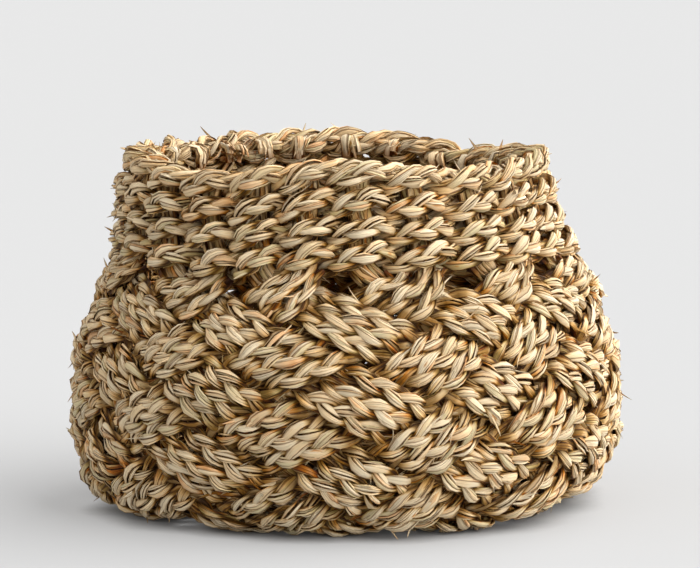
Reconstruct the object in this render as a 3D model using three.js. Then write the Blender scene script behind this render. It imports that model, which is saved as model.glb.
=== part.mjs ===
// Seagrass basket with a plaited belly and a twined collar.
// Lengths are millimetres and angles radians. The origin is the middle of the underside, +Z is up.
//
// Twelve long bands are plaited over one and under one. They cross as a square mat under the
// basket, turn up all round it and cross again on the bias up the wall, so one end of each band
// climbs to the right and the other end to the left. A band is three braids side by side. The
// middle braid of each band end goes on through the collar as a stake and is folded in at the rim.
// The collar is twined: in each row two braids pass before and behind the stakes by turns, and
// cross between them.

import * as THREE from "three";

// Outline of the basket, outside
const BELLY_RADIUS = 178;
const BELLY_HEIGHT = 72;
const BASE_RADIUS = 130;
const COLLAR_FOOT_HEIGHT = 162;
const COLLAR_FOOT_RADIUS = 151;
const RIM_RADIUS = 137;
const RIM_LEAN = 8;

// Shape of the curves between those places
const CORNER_ROUND = 0.6;
const SHOULDER_ROUND = 0.4;
const COLLAR_FLARE = 0.4;

// Bands and their plait
const BANDS_FROM_MIDDLE = 3;
const MAT_ROW_REACH = 0.84;
const WALL_ROWS = 8;
const ROW_CROWDING = 0.24;
const ROWS_TO_COLLAR = 0.66;
const BAND_WIDTH = 35;
const BAND_GAP = 4.5;
const BRAIDS_PER_BAND = 3;
const BRAID_THICKNESS = 8;
const BAND_EDGE_THICKNESS = 1.2;
const BRAID_GAP = 0.35;
const PLAIT_CLEARANCE = 0.9;
const CROSSING_SHARE = 0.64;
const LAST_CROSSING_SHARE = 0.36;
const GATHER = 0.7;

// Collar
const COLLAR_ROWS = 4;
const STAKE_WIDTH = 13;
const STAKE_THICKNESS = 7;
const FOLD_THICKNESS = 4;
const FOLD_TAIL = 12;
const TUCK_GAP = 1;
const TWINE_THICKNESS = 8;
const TWINE_HEIGHT = 7.3;
const TWINE_CLEARANCE = 0.4;
const TWINE_SIDE_ROOM = 2;

// Sizes that follow from the driving dimensions
const quarterTurn = Math.PI / 2;
const rowTurn = quarterTurn / (2 * BANDS_FROM_MIDDLE);
const lastRow = BANDS_FROM_MIDDLE + WALL_ROWS;
const stakeCount = 8 * BANDS_FROM_MIDDLE;
const stakeTurn = (2 * Math.PI) / stakeCount;
const matPitch = BAND_WIDTH + BAND_GAP;
const plaitLift = (BRAID_THICKNESS + PLAIT_CLEARANCE) / 2;
const wallHalf = plaitLift + BRAID_THICKNESS / 2;
const twineLift = STAKE_THICKNESS / 2 + TWINE_CLEARANCE + TWINE_THICKNESS / 2;
const twineRise = (TWINE_HEIGHT + TWINE_CLEARANCE) / 2;
const twinePitch = 2 * (TWINE_HEIGHT + TWINE_CLEARANCE);
const collarHeight = COLLAR_ROWS * twinePitch;
const bellyMiddle = BELLY_RADIUS - wallHalf;
const footMiddle = COLLAR_FOOT_RADIUS - wallHalf;
const rimMiddle = RIM_RADIUS - TWINE_THICKNESS / 2 - twineLift / 2;

// Middle line of the wall, from the middle of the base out and up to the rim
function makeOutline() {
  const shoulderRise = COLLAR_FOOT_HEIGHT - BELLY_HEIGHT;
  const cornerRise = BELLY_HEIGHT - wallHalf;
  const cornerReach = bellyMiddle - BASE_RADIUS;
  const path = new THREE.Path();
  path.moveTo(0, wallHalf);
  path.lineTo(BASE_RADIUS, wallHalf);
  path.bezierCurveTo(
    BASE_RADIUS + CORNER_ROUND * cornerReach,
    wallHalf,
    bellyMiddle,
    BELLY_HEIGHT - CORNER_ROUND * cornerRise,
    bellyMiddle,
    BELLY_HEIGHT,
  );
  path.bezierCurveTo(
    bellyMiddle,
    BELLY_HEIGHT + SHOULDER_ROUND * shoulderRise,
    footMiddle + COLLAR_FLARE * SHOULDER_ROUND * shoulderRise,
    COLLAR_FOOT_HEIGHT - SHOULDER_ROUND * shoulderRise,
    footMiddle,
    COLLAR_FOOT_HEIGHT,
  );
  path.quadraticCurveTo(
    rimMiddle,
    COLLAR_FOOT_HEIGHT + (footMiddle - rimMiddle) / COLLAR_FLARE,
    rimMiddle,
    COLLAR_FOOT_HEIGHT + collarHeight,
  );
  return path;
}

const outline = makeOutline();
const outlineRuns = outline.getCurveLengths();
const outlineRun = outlineRuns[outlineRuns.length - 1];
const footRun = outlineRuns[outlineRuns.length - 2];
const collarRun = outlineRun - footRun;

// Radius, height and outward direction of the wall at a run along its outline. Past the rim the
// outline goes on straight.
function wallAt(run) {
  const share = THREE.MathUtils.clamp(run / outlineRun, 0, 1);
  const place = outline.getPoint(share);
  const along = outline.getTangent(share);
  place.addScaledVector(along, run - share * outlineRun);
  return { radius: place.x, height: place.y, outX: along.y, outZ: -along.x };
}

// Rows of crossings lie closer together towards the collar. The rows of the mat are diamonds, and
// their mean reach is a share of the reach of their corners.
const firstRun = MAT_ROW_REACH * BANDS_FROM_MIDDLE * matPitch;
const wallRun = footRun - firstRun;

function runOfRow(row) {
  const share = (row - BANDS_FROM_MIDDLE) / (WALL_ROWS + ROWS_TO_COLLAR);
  return firstRun + wallRun * (share + ROW_CROWDING * share * (1 - share));
}

// Distance between neighbouring bands that run the same way, square to them. The rise from row to
// row is taken over a part of a row to both sides.
function bandPitch(row) {
  const flat = 1 - matShare(row);
  const step = 0.25;
  const rise = (runOfRow(row + step) - runOfRow(row - step)) / (2 * step);
  const side = rowTurn * wallAt(runOfRow(row)).radius;
  const wallPitch = (2 * side * rise) / Math.hypot(side, rise);
  return flat * matPitch + (1 - flat) * wallPitch;
}

// 0 on the square mat under the basket, 1 where the rows have become rings
function matShare(row) {
  return THREE.MathUtils.smoothstep(
    row,
    BANDS_FROM_MIDDLE,
    BANDS_FROM_MIDDLE + 1,
  );
}

// A place in the plait. across and along count band pitches from the middle of the mat, and lift
// is measured outwards from the middle of the wall.
function plaitPoint(across, along, lift) {
  const out = Math.abs(along);
  const row = across + out;
  const wall = wallAt(runOfRow(row));
  const angle = quarterTurn / 2 + (out - across) * rowTurn;
  const reach = wall.radius + lift * wall.outX;
  const onRing = new THREE.Vector3(
    reach * Math.cos(angle),
    reach * Math.sin(angle),
    wall.height + lift * wall.outZ,
  );
  const point = new THREE.Vector3(
    across * matPitch,
    out * matPitch,
    wallHalf - lift,
  );
  point.lerp(onRing, matShare(row));
  point.y *= along < 0 ? -1 : 1;
  return point;
}

// A place in the collar, at an angle round it, a distance to the side, a run along the outline
// and a lift outwards
function collarPoint(angle, side, run, lift) {
  const wall = wallAt(run);
  const reach = wall.radius + lift * wall.outX;
  const turned = angle + side / reach;
  return new THREE.Vector3(
    reach * Math.cos(turned),
    reach * Math.sin(turned),
    wall.height + lift * wall.outZ,
  );
}

// A closed body through a row of four-cornered sections
function loft(sections, isRing) {
  const corners = sections[0].length;
  const points = sections.flat();
  const faces = [];
  const count = sections.length;
  const spans = isRing ? count : count - 1;
  for (let i = 0; i < spans; i += 1) {
    const here = i * corners;
    const next = ((i + 1) % count) * corners;
    for (let j = 0; j < corners; j += 1) {
      const k = (j + 1) % corners;
      if (j < corners / 2) {
        faces.push(here + j, next + j, next + k);
        faces.push(here + j, next + k, here + k);
      } else {
        faces.push(here + j, next + j, here + k);
        faces.push(here + k, next + j, next + k);
      }
    }
  }
  if (!isRing) {
    const end = (count - 1) * corners;
    for (let j = 1; j < corners - 1; j += 1) {
      faces.push(0, j, j + 1);
      faces.push(end, end + j + 1, end + j);
    }
  }
  const geometry = new THREE.BufferGeometry();
  geometry.setFromPoints(points);
  geometry.setIndex(faces);
  geometry.computeVertexNormals();
  return geometry;
}

// Half the thickness of a band at a share of its half width
function halfThickness(share) {
  const inner = 1 / BRAIDS_PER_BAND;
  const slope = Math.max(0, (Math.abs(share) - inner) / (1 - inner));
  return THREE.MathUtils.lerp(
    BRAID_THICKNESS / 2,
    BAND_EDGE_THICKNESS / 2,
    slope,
  );
}

// Section of one braid of a band in the plait. place is the band's place across the mat, and
// gather is the share of its width that the band keeps.
function plaitSection(place, along, lift, braid, gather) {
  const pitch = bandPitch(place + Math.abs(along));
  const width = gather * Math.min(BAND_WIDTH, pitch - BAND_GAP / 2);
  const halfBand = width / (2 * pitch);
  const halfGap = BRAID_GAP / (2 * pitch);
  const inner = ((braid - 0.5) * 2 * halfBand) / BRAIDS_PER_BAND + halfGap;
  const outer = ((braid + 0.5) * 2 * halfBand) / BRAIDS_PER_BAND - halfGap;
  const thinInner = halfThickness(inner / halfBand);
  const thinOuter = halfThickness(outer / halfBand);
  return [
    plaitPoint(place + inner, along, lift + thinInner),
    plaitPoint(place + outer, along, lift + thinOuter),
    plaitPoint(place + outer, along, lift - thinOuter),
    plaitPoint(place + inner, along, lift - thinInner),
  ];
}

// Sections of a braid through every crossing of its band, from one end to the other
function plaitSections(place, braid) {
  const lastCrossing = lastRow - place;
  const halfCrossing = CROSSING_SHARE / 2;
  const sections = [];
  for (let at = -lastCrossing; at <= lastCrossing; at += 1) {
    const rowsBelowTop = lastCrossing - Math.abs(at);
    const side = rowsBelowTop % 2 === 0 ? 1 : -1;
    const lift = side * Math.sign(at) * plaitLift;
    const isMatEdge = place + 0.5 === BANDS_FROM_MIDDLE && Math.abs(at) === 0.5;
    const stops = isMatEdge ? [-1, 0, 1] : [-1, 1];
    for (const end of stops) {
      const isLast = at * end === lastCrossing;
      const along = at + end * (isLast ? LAST_CROSSING_SHARE / 2 : halfCrossing);
      sections.push(plaitSection(place, along, lift, braid, isLast ? GATHER : 1));
    }
  }
  return sections;
}

// Run along the outline to the middle of a twined row
function rowRun(row) {
  return footRun + (row + 0.5) * (collarRun / COLLAR_ROWS);
}

// Sections of a stake from the foot of the collar over the rim and down inside. The lists hold the
// run past the foot, the lift of the two faces and half the width.
function stakeSections(angle) {
  const topRow = rowRun(COLLAR_ROWS - 1) - footRun;
  const foldUnder = topRow + TWINE_HEIGHT / 2 + twineRise + TWINE_CLEARANCE;
  const foldTop = foldUnder + FOLD_THICKNESS;
  const tailOuter = -(twineLift + TWINE_THICKNESS / 2 + TWINE_CLEARANCE);
  const tailInner = tailOuter - FOLD_THICKNESS;
  const half = STAKE_THICKNESS / 2;
  const rows = Array.from({ length: COLLAR_ROWS }, (_, i) => rowRun(i) - footRun);
  const outside = [
    [0, half],
    ...rows.map((run) => [run, half]),
    [foldTop, half],
    [foldTop, tailInner],
    [foldTop - FOLD_TAIL, tailInner],
  ];
  const inside = [
    [0, -half],
    ...rows.map((run) => [run, -half]),
    [foldUnder, -half],
    [foldUnder, tailOuter],
    [foldTop - FOLD_TAIL, tailOuter],
  ];
  return outside.map(([outRun, outLift], i) => {
    const [inRun, inLift] = inside[i];
    return [
      collarPoint(angle, STAKE_WIDTH / 2, footRun + outRun, outLift),
      collarPoint(angle, -STAKE_WIDTH / 2, footRun + outRun, outLift),
      collarPoint(angle, -STAKE_WIDTH / 2, footRun + inRun, inLift),
      collarPoint(angle, STAKE_WIDTH / 2, footRun + inRun, inLift),
    ];
  });
}

// Last section of a side braid, tucked in beside the stake under the first twined row
function tuckSection(angle, braid) {
  const near = -braid * (STAKE_WIDTH / 2 + TUCK_GAP);
  const far = near - braid * (STAKE_WIDTH / 2);
  const run = footRun - TWINE_CLEARANCE;
  const half = STAKE_THICKNESS / 2;
  const [first, second] = braid > 0 ? [near, far] : [far, near];
  return [
    collarPoint(angle, first, run, half),
    collarPoint(angle, second, run, half),
    collarPoint(angle, second, run, -half),
    collarPoint(angle, first, run, -half),
  ];
}

// The same section on the other half of the band, turned to meet it end to end
function mirrored(section) {
  return section.map((point) => new THREE.Vector3(point.x, -point.y, point.z));
}

// One braid of a band whose place is counted in pitches from the middle of the mat
function braidGeometry(place, braid) {
  const angle = quarterTurn / 2 + (lastRow + 0.5 - 2 * place) * rowTurn;
  const upper = braid === 0 ? stakeSections(angle) : [tuckSection(angle, braid)];
  const lower = upper.map(mirrored).reverse();
  return loft([...lower, ...plaitSections(place, braid), ...upper], false);
}

// One twining braid, a ring that passes before every other stake and behind those between. Before
// a stake it climbs to the right, and behind one it comes down again.
function twineGeometry(row) {
  const run = rowRun(row);
  const sideRoom = STAKE_WIDTH / 2 + TWINE_SIDE_ROOM;
  const thick = TWINE_THICKNESS / 2;
  const tall = TWINE_HEIGHT / 2;
  const sections = [];
  for (let i = 0; i < stakeCount; i += 1) {
    const angle = (i + 0.5) * stakeTurn;
    const before = i % 2 === 0 ? 1 : -1;
    for (const end of [-1, 1]) {
      const middle = run + before * end * twineRise;
      const lift = before * twineLift;
      sections.push([
        collarPoint(angle, end * sideRoom, middle - tall, lift - thick),
        collarPoint(angle, end * sideRoom, middle - tall, lift + thick),
        collarPoint(angle, end * sideRoom, middle + tall, lift + thick),
        collarPoint(angle, end * sideRoom, middle + tall, lift - thick),
      ]);
    }
  }
  return loft(sections, true);
}

// Dried blades, duller where the light has bleached them less
const STRAW = 0xb9996a;
const PALE_STRAW = 0xc4a678;
const OLIVE_STRAW = 0xa89467;

function seagrass(colour) {
  return new THREE.MeshStandardMaterial({
    color: colour,
    roughness: 0.85,
    metalness: 0,
  });
}

const sideNames = ["front", "right", "back", "left"];
const braidNames = ["inner", "middle", "outer"];
const bandNames = ["near", "half", "far"];

// Adds the three braids of each band of one quarter, turned round to its side
function addBands(parent) {
  for (let i = 0; i < BANDS_FROM_MIDDLE; i += 1) {
    for (let braid = -1; braid <= 1; braid += 1) {
      const geometry = braidGeometry(i + 0.5, braid);
      sideNames.forEach((side, quarter) => {
        const colour = [PALE_STRAW, STRAW, OLIVE_STRAW][(i + quarter) % 3];
        const mesh = new THREE.Mesh(geometry, seagrass(colour));
        mesh.name = `${side}_${bandNames[i]}_band_${braidNames[braid + 1]}_braid`;
        mesh.rotation.z = (quarter - 1) * quarterTurn;
        parent.add(mesh);
      });
    }
  }
}

// Adds the two braids of each twined row, the second one stake further round
function addCollar(parent) {
  for (let row = 0; row < COLLAR_ROWS; row += 1) {
    const geometry = twineGeometry(row);
    ["a", "b"].forEach((letter, shift) => {
      const mesh = new THREE.Mesh(geometry, seagrass(PALE_STRAW));
      mesh.name = `collar_row_${row + 1}_braid_${letter}`;
      mesh.rotation.z = (shift + row) * stakeTurn;
      parent.add(mesh);
    });
  }
}

// The basket leans a little to the left, more the higher up. The belly stays over the origin.
function leanMatrix() {
  const slope = RIM_LEAN / (COLLAR_FOOT_HEIGHT + collarHeight);
  const lean = new THREE.Matrix4();
  lean.set(
    1, 0, -slope, slope * BELLY_HEIGHT,
    0, 1, 0, 0,
    0, 0, 1, 0,
    0, 0, 0, 1,
  );
  return lean;
}

const basket = new THREE.Group();
const woven = new THREE.Group();
woven.matrixAutoUpdate = false;
woven.matrix.copy(leanMatrix());
addBands(woven);
addCollar(woven);
basket.add(woven);

export default basket;
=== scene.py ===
import itertools
import math

import bpy
import numpy as np
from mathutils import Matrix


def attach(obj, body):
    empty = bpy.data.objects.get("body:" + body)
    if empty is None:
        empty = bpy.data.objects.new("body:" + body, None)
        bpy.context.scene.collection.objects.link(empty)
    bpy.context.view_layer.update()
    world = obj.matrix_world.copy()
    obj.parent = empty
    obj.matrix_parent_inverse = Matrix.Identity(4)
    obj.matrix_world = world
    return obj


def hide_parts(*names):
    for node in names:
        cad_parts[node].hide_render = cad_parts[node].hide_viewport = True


bl_info = {
    "name": "Seagrass basket",
    "version": (1, 0, 0),
    "blender": (4, 5, 0),
    "location": "View3D > Sidebar > Basket",
    "description": "Weaves a basket of three-strand seagrass braids and sets its stage",
    "category": "Add Mesh",
}

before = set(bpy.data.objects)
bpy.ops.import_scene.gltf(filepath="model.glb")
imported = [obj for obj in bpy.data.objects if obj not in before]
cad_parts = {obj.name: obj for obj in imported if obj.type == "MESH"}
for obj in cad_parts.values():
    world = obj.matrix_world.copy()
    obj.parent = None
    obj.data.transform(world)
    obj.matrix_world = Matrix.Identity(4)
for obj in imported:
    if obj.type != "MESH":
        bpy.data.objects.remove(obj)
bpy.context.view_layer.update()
BODY = "root"
SIDES = ("front", "right", "back", "left")
BAND_NAMES = ("near", "half", "far")
BRAID_NAMES = ("inner", "middle", "outer")
STRANDS = 3
TAU = 2 * math.pi
QUARTER = TAU / 4
EIGHTH = TAU / 8
MM = 0.001
WHITE = (1, 1, 1, 1)

# Unevenness of the hand plait, in radians round the basket and metres up the wall
UNEVEN_TURN = 0.09
UNEVEN_RISE = 0.006
UNEVEN_SWELL = 0.0035
UNEVEN_RIM = 0.0032
UNEVEN_REACH = 0.05
COLLAR_CALM = 0.6
CALM_REACH = 0.03
RIM_REACH = 0.06
BACK_TURN = 0.06
BACK_SHIFT = 0.0075
SHOULDER_SHIFT = 0.0045
SHOULDER_HEIGHT = 0.137
SHOULDER_REACH = 0.042
# Each wave is its turns round the basket, its rises per metre of wall and a phase
TURN_WAVES = ((2, 3.1, 0.4), (5, -4.2, 2.1), (1, 5.0, 1.56))
RISE_WAVES = ((3, 2.0, 1.0), (5, -3.0, 3.3), (2, 5.0, 0.2))
SWELL_WAVES = ((4, 4.0, 2.2), (7, -6.0, 0.7), (2, 9.0, 4.1))
RIM_WAVES = ((4, 0.0, 1.29),)
# Each bump is the direction it faces, its width and how far it rises
RIM_BUMPS = (
    (2.12, 0.24, 0.004),
    (2.62, 0.2, 0.007),
    (0.80, 0.18, -0.006),
    (1.55, 0.3, 0.0015),
    (5.75, 0.36, 0.0055),
    (0.25, 0.3, -0.0025),
)
# The rim is drawn in a little, from a distance past the collar's foot
RIM_TUCK = 0.003
RIM_TUCK_FROM = 0.042
RIM_TUCK_REACH = 0.02
# Each bulge is its size, the direction it faces, its width, its height and its reach up and down
BULGES = (
    (0.009, 3.60, 0.5, 0.014, 0.026),
    (0.0055, 3.14, 0.5, 0.201, 0.015),
    (-0.006, 0.0, 0.4, 0.126, 0.014),
    (-0.004, 0.0, 0.4, 0.176, 0.013),
)
# Wave lengths of a braid's slow drift
DRIFT_LENGTHS = (0.19, 0.11, 0.067)

# How finely the outline and the courses are worked out, how far a course is smoothed, and what
# counts as no length at all
OUTLINE_STEPS = 160
PITCH_STEP = 0.25
CROSSING_SAMPLES = 40
TWINE_SAMPLES = 1400
BRUSH_SAMPLES = 8
SMOOTH_REACH = 6
SAME_PLACE = 1e-6
ABOVE_ZERO = 1e-9

# The bands' last crossings. Reaches are in crossings.
LAST_CROSSING_REACH = 0.18
GATHER_BEFORE = 0.2
GATHER_REACH = 0.38
OPENING_REACH = 0.4
BRAID_PRESS = 1.27

# The stakes' folds over the rim, and the tucked ends beside the stakes
STAKE_START = 3 * MM
STAKE_SHADE = 0.55
FOLD_PRESS = 0.003
FOLD_OPEN = 0.45
FOLD_LEAN = 0.006
FOLD_REACH = 6 * MM
FOLD_FULL = 1.4
LOOSEN_REACH = 10 * MM
LEAN_REACH = 20 * MM
LOOSE_TAIL = 0.004
TAIL_RANGE = (0.3, 2)
TUCK_RUNS = (3 * MM, 5 * MM)
TUCK_LIFTS = (-1.5 * MM, -2 * MM)
TUCK_SIDE = 0.75
TUCK_SHARE = 0.32

# The twined rows, and the spread cut end of the last one
TWINE_START = 21
TWINE_OVERLAP = 0.6
TWINE_PLATEAU = 1.5
TWINE_PRESS = 1.2
TWINE_CLIMB = 1.08
TWINE_SLIM = 1.65
TWINE_SWELL = 0.38
TWINE_BACK = 0.36
TWINE_SHADE = 0.6
TWINE_SEED = 50
TOP_ROW_RISE = 0.004
BRUSH_FROM = 0.35
BRUSH_LENGTH = 0.015
BRUSH_RISE = 0.003
BRUSH_SPREAD = 2.2

# The sizes of the braid's look that its tree is given
BLADE_INPUTS = (
    "strand_period",
    "strand_width",
    "strand_thickness",
    "blade_width",
    "blade_thickness",
    "twist_length",
    "frizz",
    "loose_ends",
)

# The strands in a braid and the blades round a strand. Waves are counted per metre.
PHASE_WAVES = 14
PHASE_LANE = 1.7
PHASE_DRIFT = 0.5
FLAT_SPREAD = 0.62
OPENED_UNTWIST = 0.7
STRAND_TURN = 1.9
TURN_DRIFT = 0.9
STRAND_PINCH = 0.22
STRAND_BULGE = 0.34
BLADE_INSET = 1.3
BROAD_LIFT = 1.3
OPENED_FRIZZ = 1.5
INWARD_MOST = -0.25
SIDE_STRAY = 0.6
LENGTHWISE_FROM = 0.25
FLOOR_SKIN = 0.0012

# The breadth, thickness and ends of a blade: shares of its even size, and lengths in metres
NARROW_BREADTH = 0.6
BREADTH_RANGE = 1.3
LEAST_BREADTH = 0.4
BROAD_BREADTH = 2
OPENED_SWELL = 0.25
RUN_SWELL = 0.5
NARROW_THICKNESS = 1.5
BREADTH_THINS = 0.45
RAGGED_END = 0.009
TIP_LENGTH = 0.004
TIP_SHARE = 0.15

# The loose ends: how much more often they come in tufts, and their size, lift and width
TUFT_WAVES = 30
TUFT_LEAST = 0.6
TUFT_MOST = 9
TUFT_RANGE = (0.45, 0.7)
BACKWARD_SHARE = 0.5
LOOSE_LENGTHS = (0.004, 0.014)
LOOSE_LIFTS = (0.1, 0.55)
LOOSE_WIDTH = 0.6
LOOSE_PATH = {"Start": (0, 0, -0.2), "Middle": (0.5, 0, 0.1), "End": (1, 0, 1)}
LOOSE_TAPER = 0.85
LOOSE_THICKNESS = 0.12
LOOSE_HEIGHT = 0.9
LOOSE_PAINT_RUN = 0.01
LOOSE_PAINT_WIDTH = 0.001

# What keeps the noises and the random draws of braids and blades apart
SEED_SHIFT = 7.31
DRAW_STEP = 101
TUFT_SHIFT = 60
PAINT_SHIFT = 0.37
TONE_SHIFT = 61
STREAK_SHIFT = 9
BLOTCH_SHIFT = 20
PATCH_LANE = 3.0

# Patterns of a blade, in waves per metre across it and along it
FIBRE_WAVES = (1900, 26)
STREAK_WAVES = (900, 30)
BLOTCH_WAVES = (300, 120)
PATCH_WAVES = 75

# Paint of a blade. A range is where a paint sets in and where it is full.
HUE_START = 0.11
HUE_OWN = 0.7
HUE_PATCH = 0.26
HUE_STREAK = 0.12
BAND_WARMTH = 0.05
COLLAR_WARMTH = 0.02
# Edge and crease lines are partly the blades' own brown and partly painted shade between blades and
# between their fibres
EDGE_RANGE = (0.62, 1.05)
EDGE_STRAY = 0.22
EDGE_BROWN_AND_SHADE = 0.85
CREASE_RANGE = (0.18, 0.5)
CREASE_BROWN_AND_SHADE = 0.75
BLOTCH_RANGE = (0.37, 0.6)
BLOTCH_PAINT = 0.8
TIP_RANGE = (-0.012, -0.002)
TIP_PAINT = 0.75

# Painted shade between the blades, by height in the braid, dive under a crossing and place in the
# basket, and painted light on the open top of the rim
LIFT_RANGE = (-0.02, 0.63)
LIFT_SHARE = 0.88
CROWN_RANGE = (-1, 0.5)
CROWN_SHARE = 0.12
DIVE_RANGE = (0.15, 1.0)
DIVE_SHADE = 0.85
INSIDE_RANGE = (-0.2, 0.6)
INSIDE_SHADE = 0.35
DEEP_FROM = 0.228
DEEP_REACH = 0.06
OPEN_RANGE = (0.205, 0.222)
OPEN_LIGHT = 0.5
KEEL_RANGE = (-0.5, 0.7)
KEEL_LIGHT = 0.45
SHADE_GAMMA = 1.15
SHADE_RANGE = (0.2, 1.08)
SHADE_PAINT = 0.97

# How a blade takes the light: a painted tint, redder and more saturated where the blade is painted as
# shaded, then its own tone and fibres, its relief, roughness and gloss
HUE_SHADED = 0.488
HUE_LIT_GAIN = 0.012
COLOUR_SHADED = 1.36
COLOUR_LIT_LOSS = 0.30
VALUE_LEAST = 0.86
VALUE_BY_TONE = 0.26
VALUE_BY_FIBRE = 0.26
FIBRE_RELIEF = 0.0006
BLADE_ROUGHNESS = 0.6
STREAK_ROUGHNESS = 0.1
BLADE_SPECULAR = 0.25

# The stage
FLOOR_REACH = 40
STRAIGHT_UP = 90
SENSOR_WIDTH = 36
SIGHT_END = 200


def length(name, description, default):
    """A property that holds a length in metres"""
    return bpy.props.FloatProperty(
        name=name, description=description, default=default, min=0, unit="LENGTH", precision=4
    )


def share(name, description, default):
    """A property that holds a plain number"""
    return bpy.props.FloatProperty(name=name, description=description, default=default, precision=3)


def count(name, description, default):
    """A property that holds a number of pieces"""
    return bpy.props.IntProperty(name=name, description=description, default=default, min=1)


def colour(name, description, default):
    """A property that holds a colour"""
    return bpy.props.FloatVectorProperty(
        name=name, description=description, default=default, subtype="COLOR", min=0, max=1
    )


class BasketShape(bpy.types.PropertyGroup):
    """The outline of the wall and the plan of the plait, as in the solids"""

    belly_radius: length("Belly radius", "Outer radius at the widest place", 0.178)
    belly_height: length("Belly height", "Height of the widest place", 0.072)
    base_radius: length("Base radius", "Reach of the flat base", 0.130)
    foot_height: length("Collar foot height", "Height at which the collar starts", 0.162)
    foot_radius: length("Collar foot radius", "Outer radius where the collar starts", 0.151)
    rim_radius: length("Rim radius", "Outer radius at the rim", 0.137)
    rim_lean: length("Rim lean", "How far the rim leans to the left", 0.008)
    corner_round: share("Corner round", "Handle length of the curve below the belly", 0.6)
    shoulder_round: share("Shoulder round", "Handle length of the curve above the belly", 0.4)
    collar_flare: share("Collar flare", "Slope of the wall at the collar's foot", 0.4)
    bands_from_middle: count("Bands from the middle", "Bands each way from the mat's middle", 3)
    mat_row_reach: share("Mat row reach", "Mean reach of the mat's rows, of their corners", 0.84)
    wall_rows: count("Wall rows", "Rows of crossings up the wall", 8)
    row_crowding: share("Row crowding", "How much closer the rows lie towards the collar", 0.24)
    rows_to_collar: share("Rows to the collar", "Rows between the last crossing and the collar", 0.66)
    band_width: length("Band width", "Width of three braids side by side", 0.035)
    band_gap: length("Band gap", "Space between two bands in the mat", 0.0045)
    braid_thickness: length("Braid thickness", "Thickness of a braid", 0.008)
    plait_clearance: length("Plait clearance", "Space between two bands that cross", 0.0009)
    gather: share("Gather", "Share of its width that a band keeps at the collar", 0.7)
    collar_rows: count("Collar rows", "Twined rows of the collar", 4)
    stake_width: length("Stake width", "Width of an upright in the collar", 0.013)
    stake_thickness: length("Stake thickness", "Thickness of an upright in the collar", 0.007)
    fold_thickness: length("Fold thickness", "Thickness of a stake folded over the rim", 0.004)
    fold_tail: length("Fold tail", "How far a stake comes down inside the rim", 0.012)
    tuck_gap: length("Tuck gap", "Space between a stake and the braids tucked beside it", 0.001)
    twine_thickness: length("Twine thickness", "Thickness of a twining braid", 0.008)
    twine_height: length("Twine height", "Height of a twining braid in the solids", 0.0073)
    twine_clearance: length("Twine clearance", "Space around a twining braid", 0.0004)


class BraidLook(bpy.types.PropertyGroup):
    """How the braids are laid up from strands and blades"""

    sample_step: length("Sample step", "Distance between the points of a braid's route", 0.0037)
    strand_period: length("Strand period", "Length in which a strand comes back to its place", 0.054)
    strand_width: share("Strand width", "Half width of a strand, of the braid's half width", 0.44)
    strand_thickness: share("Strand thickness", "Half thickness of a strand, of the braid's", 0.52)
    blades: count("Blades", "Blades in one strand", 8)
    blade_width: length("Blade width", "Half the width of a blade", 0.0014)
    blade_thickness: length("Blade thickness", "Half the thickness of a blade", 0.00045)
    twist_length: length("Twist length", "Length in which a strand's blades turn once", 0.16)
    frizz: length("Frizz", "How far a loose blade stands out", 0.0014)
    loose_ends: share("Loose ends", "Share of the blades' points where an end stands off", 0.02)
    wander: length("Wander", "How far a braid strays from its even course", 0.0008)
    side_drop: share("Side drop", "Share of its lift that a band's side braid keeps", 0.68)
    band_fill: share("Band fill", "Share of their pitch that the bands fill", 0.86)
    uneven_width: share("Uneven width", "How much the braids swell and shrink", 0.08)
    plateau: share("Plateau", "How flat a band runs over a crossing", 1.7)
    pillow: share("Pillow", "How far a band bulges at a crossing, of the solids' lift", 1.4)
    mat_pillow: share("Mat pillow", "The same on the flat mat under the basket", 0.88)


class StrawColours(bpy.types.PropertyGroup):
    """Colours of the dried blades"""

    olive: colour("Olive", "Blades that kept some green", (0.63, 0.53, 0.325))
    straw: colour("Straw", "Most blades", (0.775, 0.585, 0.357))
    pale: colour("Pale straw", "Bleached blades", (0.77, 0.65, 0.46))
    tan: colour("Tan", "Warm blades", (0.74, 0.46, 0.25))
    rust: colour("Rust", "Few orange blades", (0.56, 0.25, 0.08))
    # The edge colour is partly the blades' own brown rims and partly painted shade in the gaps between
    # blades and in the creases along them
    edge: colour("Edge", "The brown rims of the blades", (0.16, 0.066, 0.025))
    tip: colour("Tip", "The browned ends of the braids", (0.34, 0.15, 0.06))
    shade: colour("Shade", "The dark between the blades", (0.022, 0.009, 0.004))


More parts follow.
